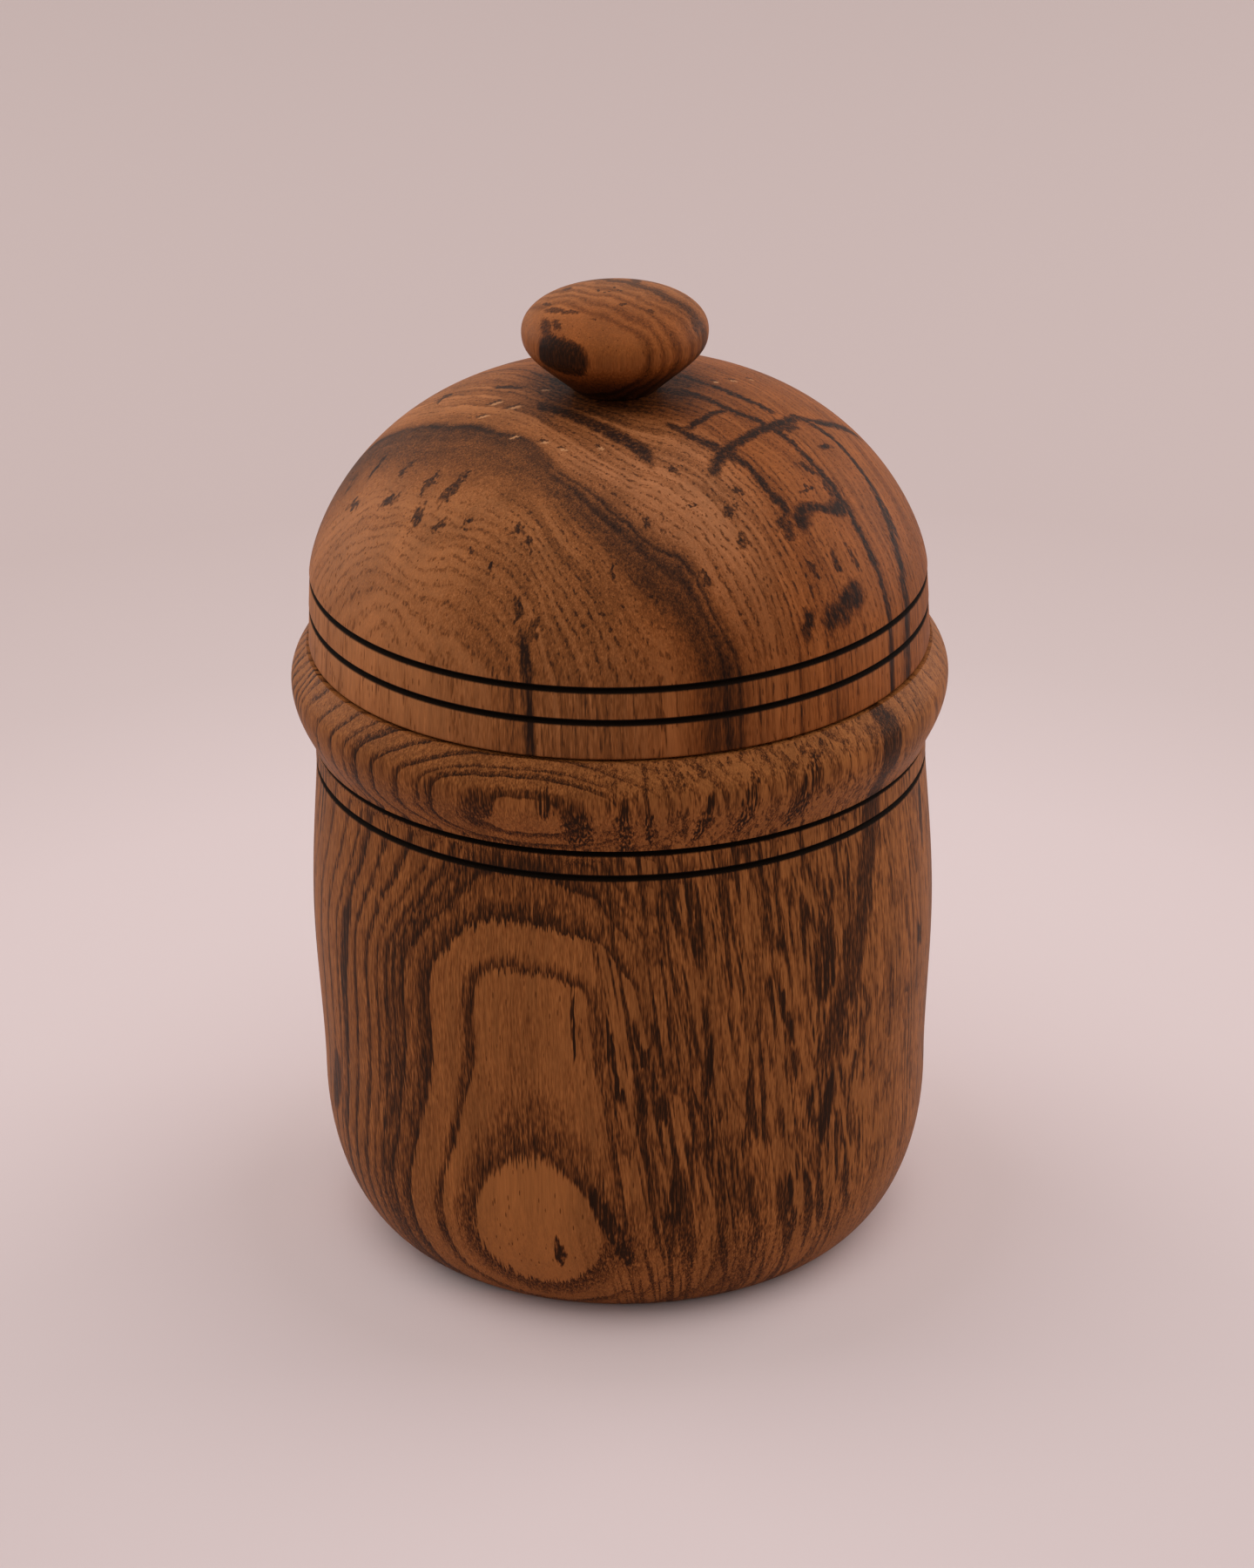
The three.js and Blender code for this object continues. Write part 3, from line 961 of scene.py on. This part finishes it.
def lid_share(finish):
    x, y = finish.x, finish.y
    across = (y - drawn(x, MAIN_BAND)) * BAND_SLANT + finish.fibres(LID_WANDER)
    band = blend(smooth(-16, -6, x), ramp(across, LEFT_BAND), ramp(across, RIGHT_BAND))
    band = band * (finish.fibre(*BAND_MOTTLE) * 0.5 + 1)
    growth = abs((across * (1 / GROWTH_SPACING)).math("FRACT") - 0.5)
    dotted = smooth(0.2, 0.1, growth) * smooth(0.0, 0.1, finish.fibre(*PORE_DOTS))
    near_front = smooth(1.5, 0.6, finish.within(finish.place, FRONT_CENTRE, FRONT_SIZE))
    dotted = dotted * (near_front * 0.14 + 0.22)
    faint = ramp(across + finish.fibres(RING_WANDER), LID_RINGS) + smooth(0.4, 0.05, growth) * 0.06
    arcs = finish.drawn_out(across, x, FINE_ARCS) * 0.55 + finish.drawn_out(across, x, WIDE_ARCS) * 0.8
    arcs = arcs * larger(smooth(-34, -8, x), smooth(-8, -2, across)) * 0.9
    # Round the knob's foot the wood is darker: partly its rough end grain, partly painted shade under the
    # knob, which fades out over the dome.
    neck_grain_and_shade = smooth(19, 10, finish.radius) * (finish.fibre(*NECK_MOTTLE) * 1.2 + 0.3)
    neck_grain_and_shade = neck_grain_and_shade + smooth(34, 16, finish.radius) * 0.1
    # Painted shade on the front of the lid, the side that gets the least light.
    front_painted_shade = smooth(-20, -36, y) * smooth(-34, -14, x) * smooth(14, -6, x) * 0.2
    share = larger(band + arcs * 0.4, dotted + faint + arcs + neck_grain_and_shade + front_painted_shade + 0.05)
    ink = None
    for points, half_width, steep in INK_LINES:
        line = stroke(finish, points, half_width, steep)
        ink = larger(ink, line) if ink else line
    marks = spots(finish, finish.ragged(1.0, 12, 3.2, 0), SPOTS)
    broken = finish.fibre(*INK_MOTTLE) * 1.1 + 0.93
    pits = spots(finish, finish.ragged(0.5, 12, 1.5, 0), TORN_PITS)
    return larger(larger(share, pits * 0.75), larger(ink, marks * 0.85) * broken)


def lid_chips(finish):
    """1 in the pale chips that stand beside the torn pits."""
    chips = []
    for x, y, half_width, half_height, turned in TORN_PITS:
        sizes = (half_width * CHIP_SIZE[0], half_height * CHIP_SIZE[1])
        chips.append((x + CHIP_STEP[0], y + CHIP_STEP[1], *sizes, turned))
    return spots(finish, finish.ragged(0.4, 12, 1.2, 0), chips)


# %% [markdown]
# The right-hand side of the lid is a deeper orange, and a patch at its front is pinker. Both are colours
# that the shades are multiplied by.

# %% Pale wood
PALE_SHADES = [(0.0, (0.37, 0.135, 0.045)), (0.35, (0.21, 0.067, 0.018)), (0.7, (0.085, 0.028, 0.009)),
               (1.0, (0.022, 0.009, 0.005))]
ORANGE = (0.78, 0.63, 0.45)
PINK = (1.0, 1.02, 1.18)
TAN = (1.0, 1.0, 1.0)
LID_PORES = 0.15
PINK_CENTRE = (6, -28, MID_LID)
PINK_SIZE = (20, 12, RIGHT_THROUGH)
PINK_TURN = radians(-42)


def make_pale_wood():
    finish = Finish("pale_wood")
    pink = smooth(1.5, 0.5, finish.within(finish.place, PINK_CENTRE, PINK_SIZE, (0, 0, PINK_TURN)))
    right = smooth(-26, 0, finish.x + finish.y * 0.35)
    warmth = mixed(pink, mixed(right, TAN, ORANGE), PINK)
    lines = burned(finish, (LOWER_LID_LINE, UPPER_LID_LINE), lid_radius)
    raw = smooth(hollow_radius + 6.5, hollow_radius + 5.7, finish.radius) * smooth(120, 112, finish.z)
    share = lid_share(finish)
    chips = lid_chips(finish)
    return finish_wood(finish, share, PALE_SHADES, SOFT_DASHES, LID_PORES, lines, raw, warmth, chips)


domed_lid.data.materials.append(make_pale_wood())

# %% [markdown]
# ## The figure of the knob
# The knob's rings are nearly flat layers that stand upright and face front-left. The front-left side of
# the bun just reaches into a dark layer, which shows as a dark patch with sharp edges.

# %% Knob wood
LAYER_ANGLE = radians(51.5)
KNOB_LAYERS = [(-16, 0.16), (-8.9, 0.12), (-7.8, 0.46), (-6.7, 0.18), (-6.2, 0.16), (-5.2, 0.46),
               (-4.2, 0.18), (-3.7, 0.16), (-2.6, 0.52), (-1.4, 0.2), (-0.6, 0.18), (0.5, 0.48),
               (1.6, 0.2), (2.0, 0.24), (2.9, 0.46), (3.8, 0.38), (4.5, 0.76), (5.7, 0.72),
               (6.8, 0.36), (9.0, 0.22), (9.8, 0.5), (10.8, 0.24), (16, 0.16)]
KNOB_WANDER = [(4, 40, 3), (1.2, 12, 0.7)]
KNOB_PORES = 0.12
# The dark patch: its angle round the knob, its height, its half sizes and its turn.
PATCH_ANGLE = radians(-36)
PATCH_HEIGHT = 159.0
PATCH_SIZE = (5.0, 5.0, 3.1)
PATCH_TURN = radians(6)
PATCH_SQUARENESS = 3
# Heights between which painted shade darkens the underside.
UNDERSIDE_PAINTED_SHADE = (159, 152)
KNOB_SPOTS = [(-9.8, -4.2, 2.2, 0.8, -40), (-7.2, -6.2, 1.8, 0.6, -25), (-11.2, -7.6, 0.8, 2.4, 10),
              (-9.4, -8.4, 0.6, 1.6, 20), (-11, -1, 1.4, 0.5, -60), (-7.8, 4, 1.0, 1.2, 0),
              (1.4, -5.2, 0.8, 0.5, 0), (5.8, -6.8, 0.8, 0.5, 0), (13, -5.8, 0.9, 1.6, 0),
              (-3.4, -9.4, 0.4, 0.3, 0), (3.5, 7, 1.0, 6, 0)]
KNOB_PITS = [(-2.6, 0.8, 0.3, 0.7, 0), (-1.6, -0.3, 0.3, 0.3, 0), (0, 2, 0.3, 0.6, 0),
             (0.6, 0.6, 0.3, 0.4, 0), (1.1, 0.3, 0.3, 0.4, 0), (-0.9, 0, 0.25, 0.25, 0)]


def knob_share(finish):
    facing = finish.place.vector("DOT_PRODUCT", (cos(LAYER_ANGLE), sin(LAYER_ANGLE), 0))
    share = ramp(facing + finish.fibres(KNOB_WANDER), KNOB_LAYERS)
    ragged = finish.ragged(0.6, 6, 1.2, 1.0)
    centre = (knob_radius * sin(PATCH_ANGLE), -knob_radius * cos(PATCH_ANGLE), PATCH_HEIGHT)
    sides = finish.measured_from(ragged, centre, PATCH_SIZE, (0, PATCH_TURN, PATCH_ANGLE))
    squared = sides.vector("ABSOLUTE").vector("POWER", (PATCH_SQUARENESS,) * 3)
    patch = smooth(1.5, 0.5, squared.vector("DOT_PRODUCT", (1, 1, 1)))
    # Painted shade darkens the knob's underside, which faces down and away from the light.
    share = larger(share + smooth(*UNDERSIDE_PAINTED_SHADE, finish.z) * 0.65, patch * 0.95)
    share = larger(share, spots(finish, ragged, KNOB_SPOTS) * 0.7)
    return larger(share, spots(finish, finish.place, KNOB_PITS) * 0.8)


def make_knob_wood():
    finish = Finish("knob_wood")
    warmth = mixed(smooth(6, -12, finish.y), TAN, ORANGE)
    share = knob_share(finish)
    return finish_wood(finish, share, PALE_SHADES, SOFT_DASHES, KNOB_PORES, warmth=warmth)


bun_knob.data.materials.append(make_knob_wood())

# %% [markdown]
# ## Floor and light
# The canister stands on a pale matt floor that runs out of view. Its colour holds painted light: it is
# brightest round the foot, which softens the contact shadow, and painted shade makes it duller further
# from the canister. The floor is one large plane, coloured by how far each point of it lies from the axis.

# %% Floor
FLOOR_SIZE = 40
FLOOR_ROUGHNESS = 0.9
# How far from the axis, in metres, and the colour there, painted lighter near the foot and darker further
# out.
FLOOR_PAINTED_LIGHT = [(0.0, (0.78, 0.64, 0.63)), (0.04, (0.78, 0.64, 0.63)), (0.064, (0.645, 0.527, 0.517)),
                (0.08, (0.63, 0.515, 0.51)), (0.12, (0.615, 0.505, 0.50)), (0.17, (0.59, 0.482, 0.477)),
                (0.24, (0.52, 0.422, 0.412)), (0.32, (0.48, 0.384, 0.372)), (0.70, (0.475, 0.38, 0.366))]


def make_floor():
    deselect_all()
    bpy.ops.mesh.primitive_plane_add(size=FLOOR_SIZE, location=(0, 0, 0))
    floor = bpy.context.object
    floor.name = "floor"
    finish = Finish("floor")
    # The ramp paints light and shade onto the floor: bright at the foot, duller further out.
    plug(finish.tree, finish.shader.inputs["Base Color"], ramp(finish.radius * MM, FLOOR_PAINTED_LIGHT))
    finish.shader.inputs["Roughness"].default_value = FLOOR_ROUGHNESS
    finish.shader.inputs["Specular IOR Level"].default_value = 0
    floor.data.materials.append(finish.material)
    print("floor", FLOOR_SIZE, "m wide")


make_floor()

# %% [markdown]
# The light is that of a photographer's tent: soft from above, and soft from both sides, so that the shadow
# is faint and the two flanks of the wood catch a little shine. A pale world gives the tent's cloth, and
# three square lamps give the light behind it.

# %% Light
WORLD_STRENGTH = 0.76
FRONT_STRENGTH = 0.5
WORLD_COLOUR = (1, 0.98, 0.965, 1)
# Each lamp: its name, size in metres, power in watts, place, and what it points at.
LAMPS = [("tent_top", 1.6, 7.6, (0, 0, 1.3), (0, 0, 0.05)),
         ("tent_left", 0.9, 4.4, (-0.95, 0.5, 0.45), (0, 0, 0.1)),
         ("tent_right", 0.9, 5.4, (0.95, 0.5, 0.45), (0, 0, 0.1))]


def make_world():
    """Soft light from all round, weaker from the dark room in front of the tent's opening."""
    world = bpy.data.worlds.new("world")
    scene.world = world
    world.use_nodes = True
    tree = world.node_tree
    background = tree.nodes["Background"]
    background.inputs["Color"].default_value = WORLD_COLOUR
    coordinates = tree.nodes.new("ShaderNodeTexCoord")
    separate = tree.nodes.new("ShaderNodeSeparateXYZ")
    tree.links.new(coordinates.outputs["Generated"], separate.inputs[0])
    behind = smooth(-0.75, 0.0, Number(tree, separate.outputs[1]))
    plug(tree, background.inputs["Strength"], blend(behind, FRONT_STRENGTH, WORLD_STRENGTH))


def make_area(name, size, energy, place, target):
    data = bpy.data.lights.new(name, "AREA")
    data.shape = "SQUARE"
    data.size = size
    data.energy = energy
    lamp = bpy.data.objects.new(name, data)
    scene.collection.objects.link(lamp)
    lamp.location = place
    lamp.rotation_euler = (Vector(target) - Vector(place)).to_track_quat("-Z", "Y").to_euler()
    print(name, energy, "W")


make_world()
for lamp_values in LAMPS:
    make_area(*lamp_values)
scene.view_settings.view_transform = "Standard"

# %% [markdown]
# ## Handing the pieces over
# Each fine piece rides on the body that it moves with, and takes the place of its CAD node.

# %% Riding
for piece, body, node, slot in (
    (pot, "pot", "body", "striped_wood"),
    (domed_lid, "lid_and_knob", "lid", "pale_wood"),
    (bun_knob, "lid_and_knob", "knob", "pale_wood"),
):
    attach(piece, body)
    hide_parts(node)
    print(piece.name, "rides on", body, "and replaces", node)
